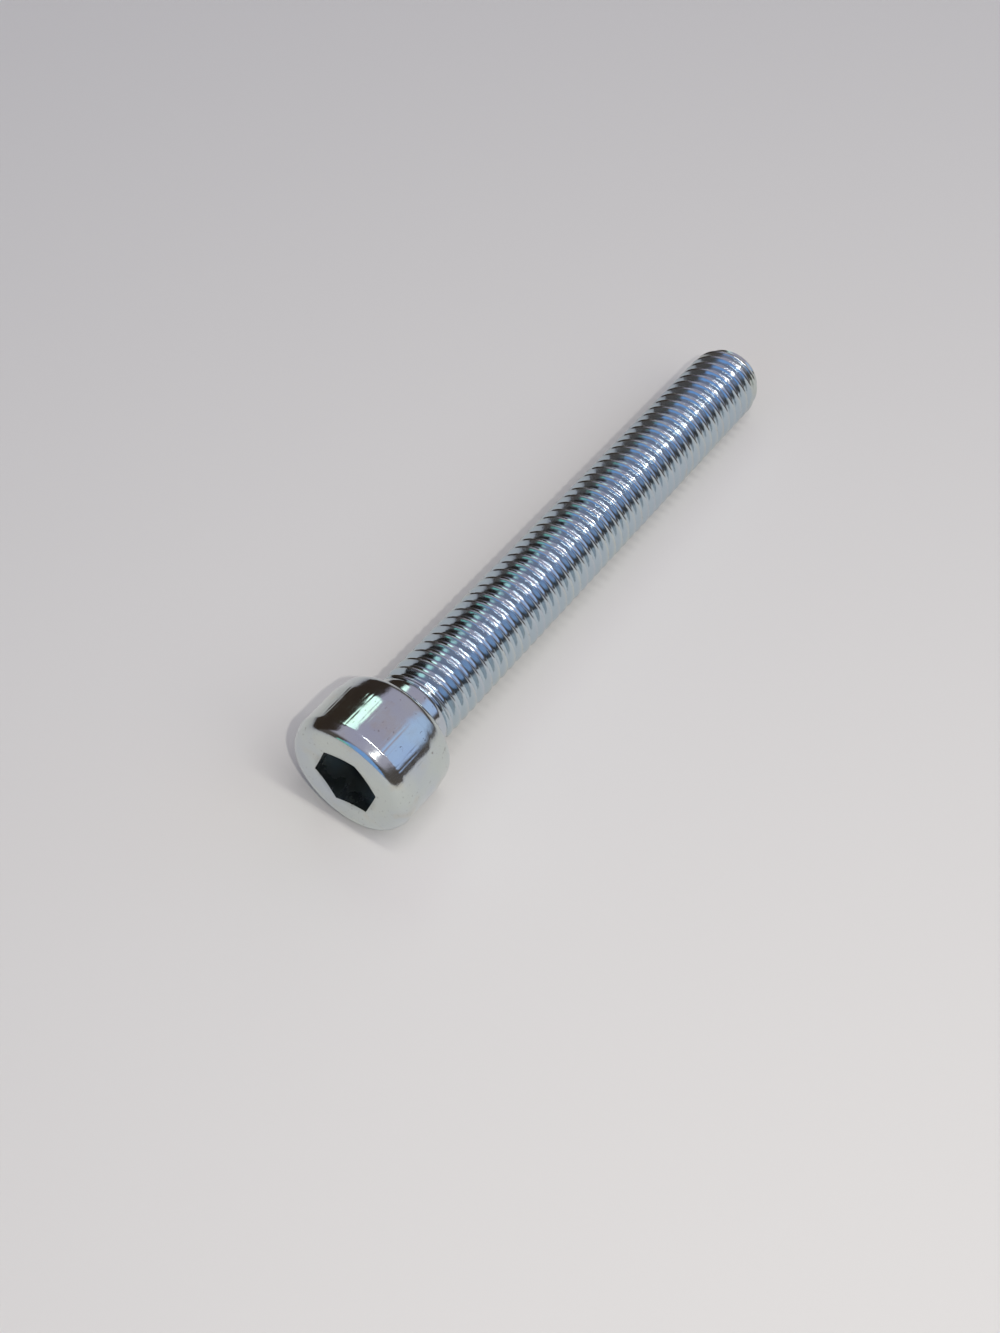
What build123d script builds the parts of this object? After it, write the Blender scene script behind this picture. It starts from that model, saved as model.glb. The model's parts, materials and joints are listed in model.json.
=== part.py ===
# Hex socket cap screw, M8 x 60, fully threaded, with a knurled head.
# It is one solid, lying on its side as it comes to rest on a level floor.
# Units are millimetres and +Z is up.  The origin is the centre of the
# bearing face under the head.  The screw's own axis points along +X and
# dips towards the tip, so that the knurl and the tip both touch the floor.
# The shank is plain here, at the major diameter of its thread.
import os
from math import asin, atan2, cos, hypot, radians, sin, tan

from build123d import *

# ---- driving dimensions --------------------------------------------------
THREAD_DIAMETER = 7.9       # across the crests of the M8 thread, as plated
SCREW_LENGTH = 60.0         # from the bearing face to the end of the tip
TIP_ROUND_LENGTH = 2.4      # length over which the tip curves inwards
TIP_FACE_DIAMETER = 6.0     # flat end of the tip

HEAD_DIAMETER = 12.4        # smooth part of the head
HEAD_HEIGHT = 8.0           # from the bearing face to the socket face
FACE_ROUND = 1.0            # rounding between the socket face and the side
BEARING_ROUND = 1.2         # rounding between the side and the bearing face
UNDERHEAD_FILLET = 0.4      # fillet between the bearing face and the shank

KNURL_RISE = 0.2            # height of the knurl's ridges over the smooth head
KNURL_DEPTH = 0.17          # depth of one knurl groove
KNURL_COUNT = 87            # grooves around the head
KNURL_REAR = 2.3            # from the bearing face to the knurl's full height
KNURL_FRONT = 1.3           # from the socket face to the knurl's full height

SOCKET_FLATS = 6.0          # hexagon across its flats
SOCKET_DEPTH = 4.5          # depth of the flats from the socket face
SOCKET_TURN = 50.5          # turn of the hexagon about the axis, in degrees
MOUTH_MARGIN = 0.09         # reach of the countersink past the hexagon's corners
COUNTERSINK_SLOPE = 12.0    # slope of the countersink from the face, degrees
SOCKET_FLOOR_SLOPE = 31.0   # slope of the drilled floor, in degrees

# ---- derived dimensions --------------------------------------------------
thread_radius = THREAD_DIAMETER / 2
tip_face_radius = TIP_FACE_DIAMETER / 2
head_radius = HEAD_DIAMETER / 2
knurl_radius = head_radius + KNURL_RISE
knurl_front = HEAD_HEIGHT - KNURL_FRONT
knurl_groove_length = knurl_front - KNURL_REAR + 2 * KNURL_RISE
groove_side = 2 * KNURL_DEPTH
groove_centre_radius = knurl_radius - KNURL_DEPTH + groove_side * sin(radians(45))
straight_length = SCREW_LENGTH - TIP_ROUND_LENGTH
socket_corner_radius = SOCKET_FLATS / 2 / cos(radians(30))
mouth_radius = socket_corner_radius + MOUTH_MARGIN
mouth_depth = mouth_radius * tan(radians(COUNTERSINK_SLOPE))
socket_floor = SOCKET_DEPTH - HEAD_HEIGHT
floor_cone_radius = SOCKET_FLATS / 2
floor_cone_depth = floor_cone_radius * tan(radians(SOCKET_FLOOR_SLOPE))

# The tip's outline is an arc that leaves the straight shank smoothly.
tip_drop = thread_radius - tip_face_radius
tip_arc_radius = (TIP_ROUND_LENGTH**2 + tip_drop**2) / (2 * tip_drop)
tip_arc_centre = thread_radius - tip_arc_radius

# The screw rests on the rear end of its knurl and on the arc of its tip.
reach = straight_length + KNURL_REAR
climb = knurl_radius - tip_arc_centre
rest_tilt = atan2(climb, reach) - asin(tip_arc_radius / hypot(climb, reach))
axis_direction = (cos(rest_tilt), 0, -sin(rest_tilt))

# ---- frames --------------------------------------------------------------
screw_axis = Axis((0, 0, 0), axis_direction)
# The section plane holds the axis: its x runs along the axis, its y outwards.
section_plane = Plane(origin=(0, 0, 0), x_dir=axis_direction, z_dir=(0, -1, 0))
# The bearing plane is square to the axis, and its z points at the tip.
bearing_plane = Plane(origin=(0, 0, 0), x_dir=(0, 1, 0), z_dir=axis_direction)
knurl_plane = bearing_plane.offset(-knurl_front - KNURL_RISE)
face_plane = bearing_plane.offset(-HEAD_HEIGHT)

# ---- the turned outline of the head and the shank -------------------------
face_round_sweep = radians(45)
round_mid = 1 - cos(face_round_sweep)
face_round_start = (-HEAD_HEIGHT, head_radius - FACE_ROUND)
face_round_mid = (-HEAD_HEIGHT + FACE_ROUND * round_mid, head_radius - FACE_ROUND * round_mid)
face_round_end = (-HEAD_HEIGHT + FACE_ROUND, head_radius)
bearing_round_start = (-BEARING_ROUND, head_radius)
bearing_round_mid = (-BEARING_ROUND * round_mid, head_radius - BEARING_ROUND * round_mid)
bearing_round_end = (0, head_radius - BEARING_ROUND)
tip_start = (straight_length, thread_radius)
tip_end = (SCREW_LENGTH, tip_face_radius)

with BuildPart() as cap_screw:
    with BuildSketch(section_plane):
        with BuildLine():
            Line((-HEAD_HEIGHT, 0), face_round_start)
            ThreePointArc(face_round_start, face_round_mid, face_round_end)
            Polyline(
                face_round_end,
                (-knurl_front - KNURL_RISE, head_radius),
                (-knurl_front, knurl_radius),
                (-KNURL_REAR, knurl_radius),
                (-KNURL_REAR + KNURL_RISE, head_radius),
                bearing_round_start,
            )
            ThreePointArc(bearing_round_start, bearing_round_mid, bearing_round_end)
            Polyline(bearing_round_end, (0, thread_radius), tip_start)
            TangentArc(tip_start, tip_end, tangent=(1, 0))
            Polyline(tip_end, (SCREW_LENGTH, 0), (-HEAD_HEIGHT, 0))
        make_face()
    revolve(axis=screw_axis)

    # The fillet runs round the corner between the shank and the bearing face.
    shank_circles = cap_screw.edges().filter_by(GeomType.CIRCLE)
    shank_circles = shank_circles.filter_by(lambda circle: abs(circle.radius - thread_radius) < 0.001)
    underhead_edge = shank_circles.sort_by(screw_axis)[0]
    fillet(underhead_edge, radius=UNDERHEAD_FILLET)

    # The knurl: V grooves of a right angle, rolled in straight lines along the
    # axis.  Each is cut by the inner corner of a square bar stood on its edge.
    # One groove points at the floor, so the head stands on two ridges.
    with BuildSketch(knurl_plane):
        with PolarLocations(groove_centre_radius, KNURL_COUNT, start_angle=-90):
            Rectangle(groove_side, groove_side, rotation=45)
    extrude(amount=knurl_groove_length, mode=Mode.SUBTRACT)

    # The hexagon socket, punched straight down the axis.
    with BuildSketch(face_plane):
        RegularPolygon(
            radius=SOCKET_FLATS / 2,
            side_count=6,
            major_radius=False,
            rotation=SOCKET_TURN,
        )
    extrude(amount=SOCKET_DEPTH, mode=Mode.SUBTRACT)

    # The countersink at the socket's mouth and the cone at its floor, as one
    # turned cut each.  Only the corners of the mouth reach the hexagon.
    with BuildSketch(section_plane):
        with BuildLine():
            Polyline(
                (-HEAD_HEIGHT, 0),
                (-HEAD_HEIGHT, mouth_radius),
                (-HEAD_HEIGHT + mouth_depth, 0),
                close=True,
            )
        make_face()
        with BuildLine():
            Polyline(
                (socket_floor, 0),
                (socket_floor, floor_cone_radius),
                (socket_floor + floor_cone_depth, 0),
                close=True,
            )
        make_face()
    revolve(axis=screw_axis, mode=Mode.SUBTRACT)
cap_screw.part.label = "cap_screw"

os.makedirs("parts", exist_ok=True)
export_step(cap_screw.part, "parts/cap_screw.step")
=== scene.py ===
# %% [markdown]
# # A zinc-plated hex socket cap screw
# An M8 x 60 screw lies on a pale floor: a knurled head with a hexagon
# socket, and a shank that is threaded from the head to the rounded tip.
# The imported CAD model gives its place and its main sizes.  What CAD leaves
# plain is made here: the helical thread, the fine knurl and the plated finish.

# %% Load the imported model
import json
from math import ceil, cos, hypot, pi, radians, sin, tan

import bmesh
import bpy
from mathutils import Matrix, Vector


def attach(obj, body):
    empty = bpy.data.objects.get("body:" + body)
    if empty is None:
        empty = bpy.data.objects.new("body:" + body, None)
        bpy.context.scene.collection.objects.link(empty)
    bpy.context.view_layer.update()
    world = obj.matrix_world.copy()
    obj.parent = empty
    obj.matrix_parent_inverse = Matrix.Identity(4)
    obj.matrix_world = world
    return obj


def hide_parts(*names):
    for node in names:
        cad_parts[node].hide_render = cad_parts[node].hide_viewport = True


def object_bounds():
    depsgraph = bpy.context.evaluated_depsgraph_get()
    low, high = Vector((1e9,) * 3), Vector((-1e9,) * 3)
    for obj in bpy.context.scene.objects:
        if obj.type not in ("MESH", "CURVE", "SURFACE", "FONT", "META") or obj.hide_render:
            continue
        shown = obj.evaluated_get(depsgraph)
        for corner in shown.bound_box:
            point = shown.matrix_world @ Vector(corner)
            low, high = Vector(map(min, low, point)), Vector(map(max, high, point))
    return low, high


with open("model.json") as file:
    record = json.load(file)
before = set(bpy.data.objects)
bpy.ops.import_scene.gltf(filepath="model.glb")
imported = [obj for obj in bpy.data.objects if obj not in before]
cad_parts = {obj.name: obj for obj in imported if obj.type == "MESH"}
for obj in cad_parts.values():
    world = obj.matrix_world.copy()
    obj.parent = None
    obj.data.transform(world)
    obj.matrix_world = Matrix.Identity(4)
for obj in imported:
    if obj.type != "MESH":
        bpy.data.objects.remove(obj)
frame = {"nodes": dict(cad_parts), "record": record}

MM = 0.001
cad_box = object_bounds()
print("CAD box in mm:", [round(v / MM, 2) for corner in cad_box for v in corner])

# %% [markdown]
# ## The screw's own frame
# Everything on a screw is turned or rolled about one axis, so it is easiest
# to build it along +X and to tip the finished mesh over at the end.  The
# record says where the axis points, and the CAD node's own points give the
# head's radius and both ends.

# %% Measure the axis and the ends
mounts = {mount["name"]: mount for mount in frame["record"]["mounts"]}
axis = Vector(mounts["thread"]["axis"]).normalized()
across = Vector((0, 1, 0))
outward = axis.cross(across).normalized()
centre = Vector(mounts["bearing_face"]["pos_m"])
to_world = Matrix.Translation(centre) @ Matrix((axis, across, outward)).transposed().to_4x4()
to_screw = to_world.inverted()

cad_points = [to_screw @ vertex.co for vertex in frame["nodes"]["cap_screw"].data.vertices]
face_x = min(p.x for p in cad_points)
tip_x = max(p.x for p in cad_points)
ridge_radius = max(hypot(p.y, p.z) for p in cad_points)
crest_radius = mounts["thread"]["dims"]["r_mm"] * MM
floor_z = cad_box[0].z
face_to_tip = round((tip_x - face_x) / MM, 2)
print("from face to tip", face_to_tip, "mm, head radius", round(ridge_radius / MM, 2))

# %% [markdown]
# ## Rings of points
# A turned shape is a row of rings joined by skins.  Most rings here have the
# same number of points and are joined by four-sided faces.  Where a fine
# ring meets a coarse one, a strip of triangles walks round both together.

# %% Helpers for turned shapes
def add_ring(mesh, x, radius, count, first_angle=0.0):
    """A ring of points about the axis. x and radius are numbers or functions of the angle."""
    points = []
    for step in range(count):
        angle = first_angle + 2 * pi * step / count
        r = radius(angle) if callable(radius) else radius
        along = x(angle) if callable(x) else x
        points.append(mesh.verts.new((along, r * cos(angle), r * sin(angle))))
    return points


def skin(mesh, first, second):
    """Joins two rings of the same count with four-sided faces."""
    for step, point in enumerate(first):
        after = (step + 1) % len(first)
        mesh.faces.new((point, first[after], second[after], second[step]))


def zip_rings(mesh, fine, coarse):
    """Joins two rings of different counts with triangles."""
    i = j = 0
    while i < len(fine) or j < len(coarse):
        fine_next = fine[(i + 1) % len(fine)]
        coarse_next = coarse[(j + 1) % len(coarse)]
        here, there = fine[i % len(fine)], coarse[j % len(coarse)]
        if (i + 1) * len(coarse) <= (j + 1) * len(fine):
            mesh.faces.new((here, fine_next, there))
            i += 1
        else:
            mesh.faces.new((here, coarse_next, there))
            j += 1


def close_ring(mesh, ring, x):
    """Closes a ring with a fan about one point on the axis."""
    middle = mesh.verts.new((x, 0, 0))
    for step, point in enumerate(ring):
        mesh.faces.new((point, ring[(step + 1) % len(ring)], middle))


def arc(centre_x, centre_r, radius, start, end, steps):
    """Points on an arc of the outline, as (x, radius) pairs. Angles are in degrees."""
    angles = [radians(start + (end - start) * i / steps) for i in range(steps + 1)]
    return [(centre_x + radius * cos(a), centre_r + radius * sin(a)) for a in angles]

# %% [markdown]
# ## The head
# The real head is cold-headed from wire: a smooth blank with rounded edges,
# then straight ridges rolled into its side so that fingers can grip it.
# The blank is made here as rings, with six columns of points for each
# ridge.  The knurl is pressed into them afterwards.  It only shows where a
# column falls in the bottom of a groove, and with 87 ridges none does: the
# grooves run half way between two columns, so the knurl comes out very faint.

# %% Outline of the head blank
RIDGES = 87
COLUMNS_A_RIDGE = 6
THREAD_COLUMNS = 87
KNURL_RISE = 0.2 * MM
FACE_ROUND = 1.0 * MM
BEARING_ROUND = 1.2 * MM
KNURL_FRONT = 1.3 * MM
KNURL_REAR = 2.3 * MM
UNDERHEAD_FILLET = 0.4 * MM
NECK_X = 0.6 * MM
EDGE_SUPPORT = 0.06 * MM
FRONT_SLOPE = ((-0.2 * MM, 0.085 * MM), (-0.05 * MM, 0.02 * MM), (0.05 * MM, 0.0))
REAR_SLOPE = ((0.3 * MM, 0.03 * MM), (0.6 * MM, 0.075 * MM), (1.0 * MM, 0.135 * MM))
REAR_SLOPE_LENGTH = 0.3 * MM
KNURL_SHARES = (0.06, 0.2, 0.35, 0.5, 0.65, 0.8, 0.94, 1.0)
head_columns = RIDGES * COLUMNS_A_RIDGE
head_radius = ridge_radius - KNURL_RISE
knurl_front_x = face_x + KNURL_FRONT

outline = [(face_x, head_radius - FACE_ROUND - EDGE_SUPPORT)]
outline += arc(face_x + FACE_ROUND, head_radius - FACE_ROUND, FACE_ROUND, 180, 112, 9)
outline += [(knurl_front_x + ahead, ridge_radius - lower) for ahead, lower in FRONT_SLOPE]
knurl_rear_x = -KNURL_REAR - REAR_SLOPE_LENGTH
for share in KNURL_SHARES:
    outline.append((knurl_front_x + share * (knurl_rear_x - knurl_front_x), ridge_radius))
outline += [(knurl_rear_x + ahead, ridge_radius - lower) for ahead, lower in REAR_SLOPE]
outline += arc(-BEARING_ROUND, head_radius - BEARING_ROUND, BEARING_ROUND, 80, 0, 9)
outline.append((0, head_radius - BEARING_ROUND - EDGE_SUPPORT))
print(len(outline), "rings of", head_columns, "points on the head")

# %% [markdown]
# ## The hexagon socket
# A punch makes the socket: a shallow countersink, six flat walls and a
# cone at the bottom.  The countersink meets the flats in six
# low arches, which are the true line where a cone meets a hexagon.

# %% Join the rings into the head, neck and tip
SOCKET_FLATS = 6.0 * MM
SOCKET_DEPTH = 4.5 * MM
SOCKET_TURN = radians(50.5)
MOUTH_MARGIN = 0.09 * MM
COUNTERSINK_SLOPE = radians(12)
FLOOR_CONE_DEPTH = 1.75 * MM
FLOOR_CONE_MIDDLE = 0.85 * MM
SOCKET_COLUMNS = 96
SHARP_ANGLE = radians(25)
TIP_FACE_RADIUS = 3.0 * MM
TIP_DENT_DEPTH = 0.2 * MM


def hexagon(angle):
    """Distance from the axis to the hexagon's wall at an angle."""
    from_corner = (angle - SOCKET_TURN) % (pi / 3)
    return SOCKET_FLATS / 2 / cos(from_corner - pi / 6)


mouth_radius = SOCKET_FLATS / 2 / cos(pi / 6) + MOUTH_MARGIN
floor_x = face_x + SOCKET_DEPTH


def countersink(angle):
    """Where the countersink meets the hexagon's wall, along the axis."""
    return face_x + (mouth_radius - hexagon(angle)) * tan(COUNTERSINK_SLOPE)


blank = bmesh.new()
rings = [add_ring(blank, x, r, head_columns) for x, r in outline]
for first, second in zip(rings, rings[1:]):
    skin(blank, first, second)

socket_outline = [
    (face_x, mouth_radius + EDGE_SUPPORT),
    (face_x, mouth_radius),
    (countersink, hexagon),
    (lambda angle: countersink(angle) + EDGE_SUPPORT, hexagon),
    (floor_x - EDGE_SUPPORT, hexagon),
    (floor_x, hexagon),
    (floor_x, SOCKET_FLATS / 2 - EDGE_SUPPORT),
    (floor_x + FLOOR_CONE_MIDDLE, SOCKET_FLATS / 4),
]
socket_rings = [add_ring(blank, x, r, SOCKET_COLUMNS, SOCKET_TURN) for x, r in socket_outline]
for first, second in zip(socket_rings, socket_rings[1:]):
    skin(blank, first, second)
close_ring(blank, socket_rings[-1], floor_x + FLOOR_CONE_DEPTH)
turned = round(SOCKET_TURN / (2 * pi) * head_columns)
zip_rings(blank, rings[0][turned:] + rings[0][:turned], socket_rings[0])

neck_outline = [(0, crest_radius + UNDERHEAD_FILLET + EDGE_SUPPORT)]
neck_outline += arc(
    UNDERHEAD_FILLET, crest_radius + UNDERHEAD_FILLET, UNDERHEAD_FILLET, 180, 270, 5
)
neck_outline.append((NECK_X, crest_radius))
neck_rings = [add_ring(blank, x, r, THREAD_COLUMNS) for x, r in neck_outline]
for first, second in zip(neck_rings, neck_rings[1:]):
    skin(blank, first, second)
zip_rings(blank, rings[-1], neck_rings[0])

tip_outline = [
    (tip_x, TIP_FACE_RADIUS),
    (tip_x, TIP_FACE_RADIUS - 0.3 * MM),
    (tip_x - 0.12 * MM, TIP_FACE_RADIUS - 0.9 * MM),
    (tip_x - TIP_DENT_DEPTH, TIP_FACE_RADIUS - 2 * MM),
]
tip_rings = [add_ring(blank, x, r, THREAD_COLUMNS) for x, r in tip_outline]
for first, second in zip(tip_rings, tip_rings[1:]):
    skin(blank, first, second)
close_ring(blank, tip_rings[-1], tip_x - TIP_DENT_DEPTH)

bmesh.ops.recalc_face_normals(blank, faces=blank.faces)
for edge in blank.edges:
    on_head = edge.verts[0].co.x < 0 and len(edge.link_faces) == 2
    if on_head and edge.calc_face_angle() > SHARP_ANGLE:
        edge.smooth = False
blank_mesh = bpy.data.meshes.new("head_blank")
blank.to_mesh(blank_mesh)
blank.free()
head_blank = bpy.data.objects.new("head_blank", blank_mesh)
bpy.context.scene.collection.objects.link(head_blank)
print("head blank:", len(blank_mesh.polygons), "faces")

# %% [markdown]
# ## Node trees for rolled shapes
# A knurl and a thread both follow a rule, so each is a Geometry Nodes tree
# with its sizes as named inputs.  A small builder class keeps the trees
# readable: it adds a node, fills its sockets and hands back its output.

# %% A builder for Geometry Nodes trees
class Rolling:
    """A Geometry Nodes tree with named inputs, and helpers that add its nodes."""

    def __init__(self, name, sizes):
        self.tree = bpy.data.node_groups.new(name, "GeometryNodeTree")
        face = self.tree.interface
        face.new_socket("Geometry", in_out="INPUT", socket_type="NodeSocketGeometry")
        face.new_socket("Geometry", in_out="OUTPUT", socket_type="NodeSocketGeometry")
        self.sizes = sizes
        for label, value in sizes.items():
            kind = "NodeSocketInt" if isinstance(value, int) else "NodeSocketFloat"
            face.new_socket(label, in_out="INPUT", socket_type=kind)
        self.given = self.tree.nodes.new("NodeGroupInput").outputs
        self.result = self.tree.nodes.new("NodeGroupOutput").inputs["Geometry"]

    def fill(self, socket, value):
        """Links a socket to an output, or sets its value."""
        if isinstance(value, bpy.types.NodeSocket):
            self.tree.links.new(value, socket)
        else:
            socket.default_value = value

    def node(self, kind, settings=(), **inputs):
        """Adds a node. Its inputs are given by name, with _ for a space."""
        made = self.tree.nodes.new(kind)
        for label, value in dict(settings).items():
            setattr(made, label, value)
        for label, value in inputs.items():
            self.fill(made.inputs[label.replace("_", " ")], value)
        return made

    def math(self, operation, *values):
        """Adds a Math node and returns its output."""
        made = self.node("ShaderNodeMath", {"operation": operation})
        for socket, value in zip(made.inputs, values):
            self.fill(socket, value)
        return made.outputs[0]

    def noise(self, scale, detail=2.0, at=None):
        """A three-dimensional noise value from 0 to 1, fixed for each place."""
        at = at or self.node("GeometryNodeInputPosition").outputs[0]
        return self.node("ShaderNodeTexNoise", Scale=scale, Detail=detail, Vector=at).outputs[0]

    def finish(self, geometry, offset_position, material):
        """Ends the tree: moves the points, realises instances and sets the material."""
        moved = self.node("GeometryNodeSetPosition", Geometry=geometry, Position=offset_position)
        welded = self.node("GeometryNodeMergeByDistance", Geometry=moved.outputs[0], Distance=1e-6)
        real = self.node("GeometryNodeRealizeInstances", Geometry=welded.outputs[0])
        painted = self.node("GeometryNodeSetMaterial", Geometry=real.outputs[0], Material=material)
        self.tree.links.new(painted.outputs[0], self.result)


def apply_tree(blank_object, rolling):
    """Runs a tree on an object and returns the result as a plain mesh."""
    modifier = blank_object.modifiers.new("rolling", "NODES")
    modifier.node_group = rolling.tree
    for item in rolling.tree.interface.items_tree:
        if item.in_out == "INPUT" and item.name in rolling.sizes:
            modifier[item.identifier] = rolling.sizes[item.name]
    depsgraph = bpy.context.evaluated_depsgraph_get()
    evaluated = blank_object.evaluated_get(depsgraph)
    made = bpy.data.meshes.new_from_object(evaluated, depsgraph=depsgraph)
    bpy.data.objects.remove(blank_object)
    return made


zinc = bpy.data.materials.new("bright_zinc_plate")

# %% [markdown]
# ## The knurl
# Each ridge of the real knurl is what stays between two rolled V grooves.
# The tree leaves every point where it is, unless a groove is deeper there:
# the new radius is the smaller of the old one and the V's own radius.  The
# gentle slopes at both ends then run the grooves out by themselves.

# %% Press the knurl into the head
GROOVE_DEPTH = 0.04 * MM
UNEVEN_SCALE = 700.0
knurl = Rolling("rolled_knurl", {
    "Ridges": RIDGES,
    "Groove Radius": ridge_radius - GROOVE_DEPTH,
    "Groove Angle": radians(-90),
    "Unevenness": 0.10 * MM,
})
place = knurl.node("ShaderNodeSeparateXYZ", Vector=knurl.node("GeometryNodeInputPosition").outputs[0])
x, y, z = place.outputs
radius = knurl.math("SQRT", knurl.math("ADD", knurl.math("MULTIPLY", y, y), knurl.math("MULTIPLY", z, z)))
angle = knurl.math("SUBTRACT", knurl.math("ARCTAN2", z, y), knurl.given["Groove Angle"])
ridge_angle = knurl.math("DIVIDE", 2 * pi, knurl.given["Ridges"])
half = knurl.math("MULTIPLY", ridge_angle, 0.5)
from_groove = knurl.math("ABSOLUTE", knurl.math("WRAP", angle, half, knurl.math("MULTIPLY", half, -1.0)))
sideways = knurl.math("MULTIPLY", from_groove, radius)
centred_noise = knurl.math("SUBTRACT", knurl.noise(UNEVEN_SCALE), 0.5)
uneven = knurl.math("MULTIPLY", centred_noise, knurl.given["Unevenness"])
groove = knurl.math("ADD", knurl.math("ADD", knurl.given["Groove Radius"], sideways), uneven)
pressed = knurl.math("MINIMUM", radius, groove)
squeeze = knurl.math("DIVIDE", pressed, knurl.math("MAXIMUM", radius, 1e-9))
new_place = knurl.node("ShaderNodeCombineXYZ", X=x, Y=knurl.math("MULTIPLY", y, squeeze),
                       Z=knurl.math("MULTIPLY", z, squeeze))
knurl.finish(knurl.given["Geometry"], new_place.outputs[0], zinc)
head_mesh = apply_tree(head_blank, knurl)
print("knurled head:", len(head_mesh.vertices), "points")

# %% [markdown]
# ## The thread
# A rolled thread is one groove that winds round the shank.  A grid becomes
# the shank: its columns go round, and its rows are sheared by one pitch a
# turn, so every row runs along the helix and the crests stay crisp.  The
# seam closes on itself one pitch further on.  Rows past either end are
# pressed flat onto that end, and the weld clears them away.

# %% Roll the thread
PITCH = 1.25 * MM
ROWS_A_PITCH = 16
CREST_FLAT = 1 / 16
FLANK_SLOPE = tan(radians(60))
THREAD_DEPTH = 5 / ROWS_A_PITCH * PITCH * FLANK_SLOPE
NEAR_CREST_X = 2.507 * MM
NEAR_CREST_TURN = 116.2 / 360
RUNOUT_START = 1.55 * MM
RUNOUT_LENGTH = 1.7 * MM
TIP_ROUND_LENGTH = 2.4 * MM
ROOT_ROUNDING = 0.12 * MM
NICK_SCALE = 2400.0
NICK_THRESHOLD = 0.56
NICK_REACH = 1.2 * CREST_FLAT

crest_at_zero = NEAR_CREST_X - PITCH * NEAR_CREST_TURN
first_crest = crest_at_zero - PITCH * ceil((crest_at_zero - NECK_X) / PITCH + 1)
turns = ceil((tip_x - first_crest) / PITCH) + 1
tip_drop = crest_radius - TIP_FACE_RADIUS
tip_arc_radius = (TIP_ROUND_LENGTH**2 + tip_drop**2) / (2 * tip_drop)

thread = Rolling("rolled_thread", {
    "Columns": THREAD_COLUMNS,
    "Rows": turns * ROWS_A_PITCH,
    "Pitch": PITCH,
    "Crest Radius": crest_radius,
    "Depth": THREAD_DEPTH,
    "First Crest": first_crest,
    "Neck": NECK_X,
    "Tip": tip_x,
    "Wear": 0.25 * MM,
})
given = thread.given
grid = thread.node(
    "GeometryNodeMeshGrid",
    Size_X=1.0,
    Size_Y=1.0,
    Vertices_X=thread.math("ADD", given["Columns"], 1.0),
    Vertices_Y=thread.math("ADD", given["Rows"], 1.0),
)
place = thread.node("ShaderNodeSeparateXYZ", Vector=thread.node("GeometryNodeInputPosition").outputs[0])
turn = thread.math("ADD", place.outputs[0], 0.5)
row = thread.math("MULTIPLY", thread.math("ADD", place.outputs[1], 0.5), given["Rows"])
row_pitches = thread.math("DIVIDE", thread.math("ADD", row, 0.5), float(ROWS_A_PITCH))
advance = thread.math("MULTIPLY", thread.math("ADD", row_pitches, turn), given["Pitch"])
along = thread.math("ADD", given["First Crest"], advance)
along = thread.math("MINIMUM", thread.math("MAXIMUM", along, given["Neck"]), given["Tip"])
from_crest = thread.math("ABSOLUTE", thread.math("WRAP", row_pitches, 0.5, -0.5))
flank = thread.math("MAXIMUM", thread.math("SUBTRACT", from_crest, CREST_FLAT / 2), 0.0)
flank_drop = thread.math("MULTIPLY", thread.math("MULTIPLY", flank, given["Pitch"]), FLANK_SLOPE)
rise = thread.node("ShaderNodeMapRange", {"interpolation_type": "SMOOTHSTEP"}, Value=along)
rise.inputs["From Min"].default_value = RUNOUT_START
rise.inputs["From Max"].default_value = RUNOUT_START + RUNOUT_LENGTH
depth_here = thread.math("MULTIPLY", given["Depth"], rise.outputs[0])
swing = thread.math("MULTIPLY", turn, 2 * pi)
round_place = thread.node(
    "ShaderNodeCombineXYZ",
    X=along,
    Y=thread.math("MULTIPLY", given["Crest Radius"], thread.math("COSINE", swing)),
    Z=thread.math("MULTIPLY", given["Crest Radius"], thread.math("SINE", swing)),
)
worn_place = thread.noise(NICK_SCALE, 2.0, round_place.outputs[0])
rounded_drop = thread.math("SMOOTH_MIN", flank_drop, depth_here, ROOT_ROUNDING)
drop = thread.math("MINIMUM", rounded_drop, depth_here)
on_crest = thread.math("LESS_THAN", from_crest, NICK_REACH)
nick = thread.math("MAXIMUM", thread.math("SUBTRACT", worn_place, NICK_THRESHOLD), 0.0)
nick = thread.math("MULTIPLY", thread.math("MULTIPLY", nick, given["Wear"]), on_crest)
# No nicks at the neck, where all the rows have to meet in one ring.
nick = thread.math("MULTIPLY", nick, rise.outputs[0])
drop = thread.math("ADD", thread.math("MAXIMUM", drop, 0.0), nick)
plain_radius = thread.math("SUBTRACT", given["Crest Radius"], drop)
past = thread.math("MAXIMUM", thread.math("SUBTRACT", along, tip_x - TIP_ROUND_LENGTH), 0.0)
chord = thread.math("SUBTRACT", tip_arc_radius**2, thread.math("MULTIPLY", past, past))
tip_radius = thread.math("ADD", thread.math("SQRT", chord), crest_radius - tip_arc_radius)
shank_radius = thread.math("MINIMUM", plain_radius, tip_radius)
new_place = thread.node(
    "ShaderNodeCombineXYZ",
    X=along,
    Y=thread.math("MULTIPLY", shank_radius, thread.math("COSINE", swing)),
    Z=thread.math("MULTIPLY", shank_radius, thread.math("SINE", swing)),
)
thread.finish(grid.outputs["Mesh"], new_place.outputs[0], zinc)
shank_blank = bpy.data.objects.new("shank_blank", bpy.data.meshes.new("shank_blank"))
bpy.context.scene.collection.objects.link(shank_blank)
shank_mesh = apply_tree(shank_blank, thread)
print("thread:", turns, "turns,", len(shank_mesh.vertices), "points")

# %% [markdown]
# ## One closed screw
# The head, the shank and the tip's cap share their end rings point for
# point, so one weld closes the whole screw.  Its normals are made to point
# outwards, and only then is it tipped over to where the CAD model lies.

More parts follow.
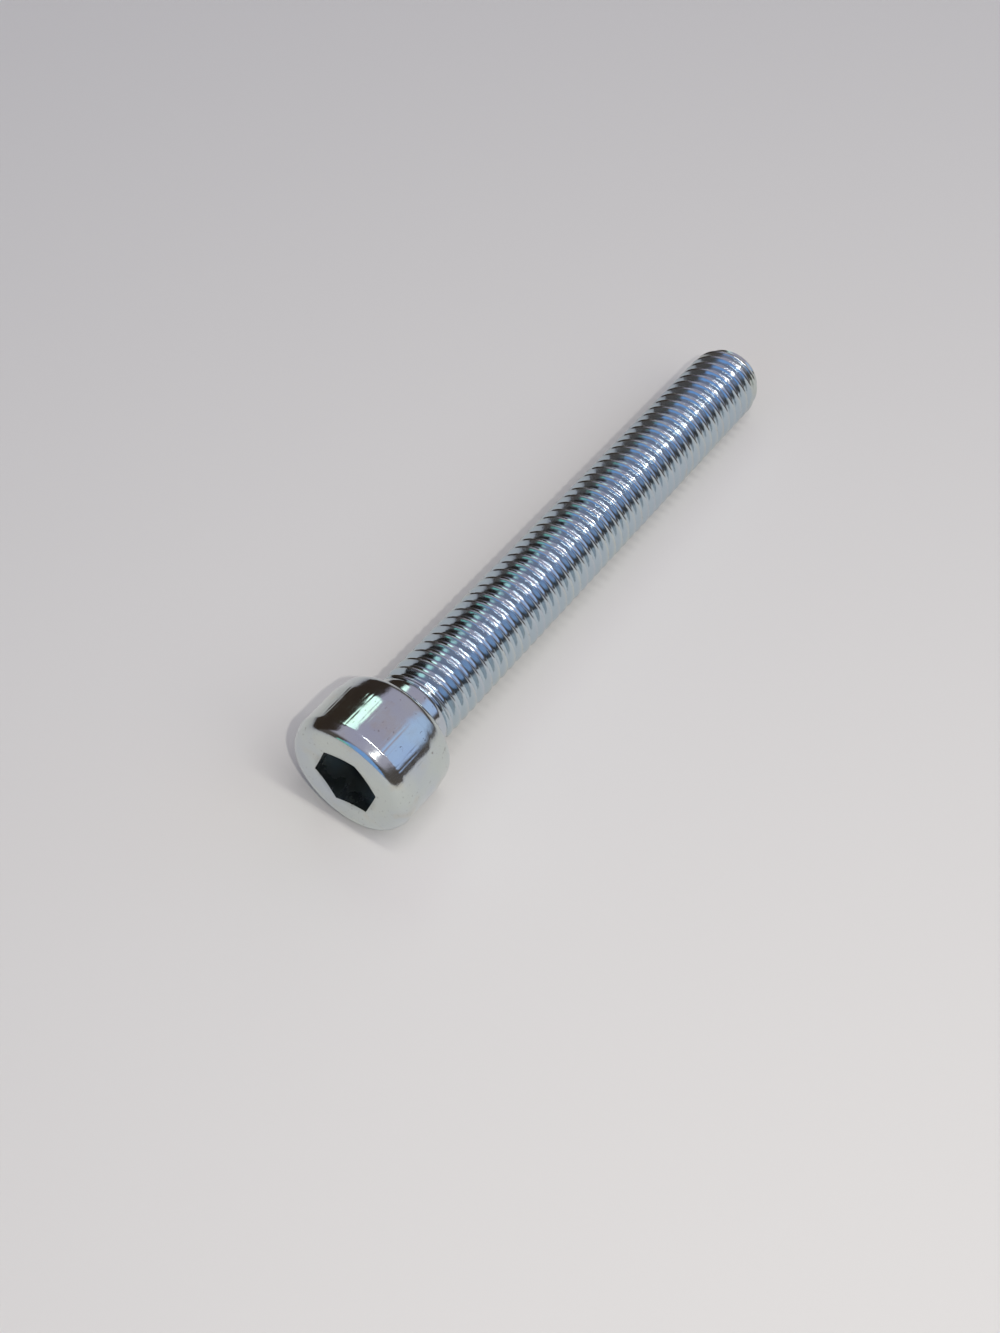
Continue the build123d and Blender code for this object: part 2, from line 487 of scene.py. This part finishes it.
# %% Weld the pieces and lay the screw down
WELD = 2e-6
SOCKET_SHADE_FADE = 0.4
GROOVE_SHADE_FADE = 0.3 * THREAD_DEPTH
screw = bmesh.new()
screw.from_mesh(head_mesh)
screw.from_mesh(shank_mesh)
bmesh.ops.remove_doubles(screw, verts=screw.verts, dist=WELD)
bmesh.ops.dissolve_degenerate(screw, edges=screw.edges, dist=WELD / 10)
bmesh.ops.recalc_face_normals(screw, faces=screw.faces)
open_edges = sum(1 for edge in screw.edges if len(edge.link_faces) != 2)
for polygon in screw.faces:
    polygon.smooth = True
# These two layers mask painted shade: socket_depth darkens the socket, groove_depth darkens the thread's
# grooves.
socket_shade_layer = screw.verts.layers.float.new("socket_depth")
groove_shade_layer = screw.verts.layers.float.new("groove_depth")
for vertex in screw.verts:
    inside = hypot(vertex.co.y, vertex.co.z) < mouth_radius and face_x < vertex.co.x < 0
    depth = (vertex.co.x - face_x) / MM
    vertex[socket_shade_layer] = min(1.0, depth / SOCKET_SHADE_FADE) if inside else 0.0
    sunk = crest_radius - hypot(vertex.co.y, vertex.co.z)
    on_thread = NECK_X < vertex.co.x < tip_x - TIP_ROUND_LENGTH
    vertex[groove_shade_layer] = min(1.0, max(0.0, sunk / GROOVE_SHADE_FADE)) if on_thread else 0.0
screw_mesh = bpy.data.meshes.new("cap_screw_plated")
screw.to_mesh(screw_mesh)
volume = screw.calc_volume(signed=True)
triangles = sum(len(polygon.verts) - 2 for polygon in screw.faces)
screw.free()
screw_mesh.transform(to_world)
cap_screw_plated = bpy.data.objects.new("cap_screw_plated", screw_mesh)
bpy.context.scene.collection.objects.link(cap_screw_plated)
screw_mesh.materials.clear()
screw_mesh.materials.append(zinc)
print("open edges:", open_edges, " volume mm3:", round(volume / MM**3, 1), " triangles:", triangles)

# %% [markdown]
# ## The plated finish
# Bright zinc is a mirror with a faint haze.  The plating is thin, so it
# shows a little of what lies under it: die marks, tiny nicks from the
# tumbling barrel, and a passivation film that tints it here and there.
# Down in the socket and in the thread's grooves the colour is painted darker as shade, and the socket is
# also made rougher.

# %% Zinc plate material
zinc.use_nodes = True
nodes, links = zinc.node_tree.nodes, zinc.node_tree.links
plate = nodes["Principled BSDF"]
plate.inputs["Metallic"].default_value = 1.0
coords = nodes.new("ShaderNodeTexCoord").outputs["Object"]


def noise(scale, detail=3.0, roughness=0.55):
    """A noise value over the screw, with its scale in cells a metre."""
    node = nodes.new("ShaderNodeTexNoise")
    node.inputs["Scale"].default_value = scale
    node.inputs["Detail"].default_value = detail
    node.inputs["Roughness"].default_value = roughness
    links.new(coords, node.inputs["Vector"])
    return node.outputs[0]


def remap(value, low, high, to_low, to_high):
    """Stretches a value from one range to another, and keeps it inside."""
    node = nodes.new("ShaderNodeMapRange")
    links.new(value, node.inputs["Value"])
    for label, number in zip(("From Min", "From Max", "To Min", "To Max"), (low, high, to_low, to_high)):
        node.inputs[label].default_value = number
    return node.outputs[0]


def blend(factor, first, second):
    """Mixes two colours, each a colour or a link."""
    node = nodes.new("ShaderNodeMix")
    node.data_type = "RGBA"
    links.new(factor, node.inputs["Factor"])
    for socket, colour in ((node.inputs[6], first), (node.inputs[7], second)):
        if isinstance(colour, tuple):
            socket.default_value = (*colour, 1.0)
        else:
            links.new(colour, socket)
    return node.outputs[2]


plate_tint_and_shade = blend(remap(noise(160.0), 0.4, 0.65, 0.0, 1.0), (0.62, 0.67, 0.64), (0.56, 0.61, 0.66))
plate_tint_and_shade = blend(remap(noise(420.0), 0.56, 0.72, 0.0, 0.6), plate_tint_and_shade, (0.60, 0.58, 0.50))
plate_tint_and_shade = blend(remap(noise(2600.0, 2.0), 0.66, 0.74, 0.0, 0.7), plate_tint_and_shade, (0.26, 0.24, 0.22))


def attribute(name):
    """A value stored on the screw's points."""
    node = nodes.new("ShaderNodeAttribute")
    node.attribute_name = name
    return node.outputs["Fac"]


# Painted shade: the thread's grooves turn darker and bluer the deeper they sink. The colours before this
# are the film's own tints and specks.
plate_tint_and_shade = blend(attribute("groove_depth"), plate_tint_and_shade, (0.51, 0.60, 0.66))
# Painted shade: the socket's walls and floor get a dark base colour, fading in over the first 0.4 mm from
# the face.
socket_shade_mask = attribute("socket_depth")
plate_tint_and_shade = blend(socket_shade_mask, plate_tint_and_shade, (0.20, 0.22, 0.20))
links.new(plate_tint_and_shade, plate.inputs["Base Color"])

haze = remap(noise(900.0, 4.0), 0.3, 0.7, 0.07, 0.17)
roughness = nodes.new("ShaderNodeMath")
roughness.operation = "ADD"
links.new(haze, roughness.inputs[0])
links.new(remap(socket_shade_mask, 0.0, 1.0, 0.0, 0.3), roughness.inputs[1])
links.new(roughness.outputs[0], plate.inputs["Roughness"])

bump_fine = nodes.new("ShaderNodeBump")
bump_fine.inputs["Strength"].default_value = 0.25
bump_fine.inputs["Distance"].default_value = 0.00002
links.new(noise(3200.0, 3.0), bump_fine.inputs["Height"])
bump_broad = nodes.new("ShaderNodeBump")
bump_broad.inputs["Strength"].default_value = 0.5
bump_broad.inputs["Distance"].default_value = 0.00008
links.new(noise(480.0, 2.0), bump_broad.inputs["Height"])
links.new(bump_fine.outputs[0], bump_broad.inputs["Normal"])
links.new(bump_broad.outputs[0], plate.inputs["Normal"])

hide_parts("cap_screw")
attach(cap_screw_plated, "root")

# %% [markdown]
# ## Floor, light and camera
# The floor is plain and pale.  A mirror shows the room, so the room matters
# more than the lamps: a grey ceiling, one bright window, a dark low wall on
# the far side and a bluish wall on the near one.  They are soft patches on
# the world.  One small lamp near the camera gives the fine white glints.

# %% Floor
FLOOR_HALF = 1.5
floor_mesh = bpy.data.meshes.new("floor")
corner_signs = [(-1, -1), (1, -1), (1, 1), (-1, 1)]
corners = [(FLOOR_HALF * x_sign, FLOOR_HALF * y_sign, floor_z) for x_sign, y_sign in corner_signs]
floor_mesh.from_pydata(corners, [], [(0, 1, 2, 3)])
floor_plane = bpy.data.objects.new("floor", floor_mesh)
bpy.context.scene.collection.objects.link(floor_plane)
paper = bpy.data.materials.new("pale_floor")
paper.use_nodes = True
paper.node_tree.nodes["Principled BSDF"].inputs["Base Color"].default_value = (0.69, 0.675, 0.625, 1)
paper.node_tree.nodes["Principled BSDF"].inputs["Roughness"].default_value = 0.8
floor_mesh.materials.append(paper)

# %% The room, as soft patches on the world
world = bpy.data.worlds.new("room")
bpy.context.scene.world = world
world.use_nodes = True
room, room_links = world.node_tree.nodes, world.node_tree.links
background = room["Background"]
direction = room.new("ShaderNodeTexCoord").outputs["Generated"]


def patch(under, colour, towards, inner, outer):
    """Lays a soft round patch of the room over what is there. inner and outer are degrees."""
    aim = room.new("ShaderNodeVectorMath")
    aim.operation = "DOT_PRODUCT"
    room_links.new(direction, aim.inputs[0])
    aim.inputs[1].default_value = Vector(towards).normalized()
    soft = room.new("ShaderNodeMapRange")
    soft.interpolation_type = "SMOOTHSTEP"
    room_links.new(aim.outputs["Value"], soft.inputs["Value"])
    soft.inputs["From Min"].default_value = cos(radians(outer))
    soft.inputs["From Max"].default_value = cos(radians(inner))
    mix = room.new("ShaderNodeMix")
    mix.data_type = "RGBA"
    room_links.new(soft.outputs[0], mix.inputs["Factor"])
    if isinstance(under, tuple):
        mix.inputs[6].default_value = (*under, 1)
    else:
        room_links.new(under, mix.inputs[6])
    mix.inputs[7].default_value = (*colour, 1)
    return mix.outputs[2]


walls = patch((0.10, 0.085, 0.08), (0.46, 0.43, 0.54), (0.15, 0, 1), 50, 72)
walls = patch(walls, (0.50, 0.64, 0.95), (0.54, -0.62, 0.42), 12, 24)
walls = patch(walls, (0.04, 0.028, 0.022), (0.3, 1.0, 0.18), 42, 50)
walls = patch(walls, (0.24, 0.44, 0.82), (-1.0, -0.05, 0.16), 24, 31)
walls = patch(walls, (1.3, 1.75, 1.55), (0.44, 0.47, 0.76), 6, 12)
walls = patch(walls, (0.24, 0.62, 0.54), (-0.93, 0.40, 0.10), 6, 10)
room_links.new(walls, background.inputs["Color"])
background.inputs["Strength"].default_value = 1.0

# %% Lamps
def lamp(name, place, size, energy, colour):
    """A rectangular area lamp, long across the screw, that points at its middle."""
    data = bpy.data.lights.new(name, "AREA")
    data.shape = "RECTANGLE"
    data.size, data.size_y = size
    data.energy, data.color = energy, colour
    made = bpy.data.objects.new(name, data)
    back = (Vector(place) - (cad_box[0] + cad_box[1]) / 2).normalized()
    side = Vector((0, 1, 0)).cross(back).normalized()
    turned = Matrix((side, back.cross(side), back)).transposed().to_4x4()
    made.matrix_world = Matrix.Translation(place) @ turned
    made.visible_camera = False
    bpy.context.scene.collection.objects.link(made)
    return made


lamp("small_lamp", (-0.088, -0.104, 0.175), (0.004, 0.004), 0.14, (1.0, 0.97, 0.93))
lamp("strip_lamp", (0.02, -0.20, 0.56), (0.035, 0.42), 1.0, (1.0, 0.99, 0.97))
near_box = lamp("near_soft_box", (0.0, -0.26, 0.20), (0.20, 0.20), 0.20, (1.0, 0.99, 0.96))
near_box.visible_glossy = False

# %% Camera
CAMERA_DISTANCE = 0.1709
CAMERA_AZIMUTH = radians(-145.07)
CAMERA_ELEVATION = radians(51.70)
aim = Vector((0.01478, -0.00075, floor_z))
back = Vector((cos(CAMERA_AZIMUTH) * cos(CAMERA_ELEVATION), sin(CAMERA_AZIMUTH) * cos(CAMERA_ELEVATION),
               sin(CAMERA_ELEVATION)))
camera_data = bpy.data.cameras.new("camera")
camera_data.lens = 47.39
camera_data.sensor_width = 36.0
camera_data.sensor_fit = "AUTO"
camera_data.clip_start = 0.005
camera = bpy.data.objects.new("camera", camera_data)
camera.location = aim + back * CAMERA_DISTANCE
camera.rotation_mode = "QUATERNION"
camera.rotation_quaternion = (-back).to_track_quat("-Z", "Y")
bpy.context.scene.collection.objects.link(camera)
bpy.context.scene.camera = camera
bpy.context.scene.view_settings.view_transform = "Standard"
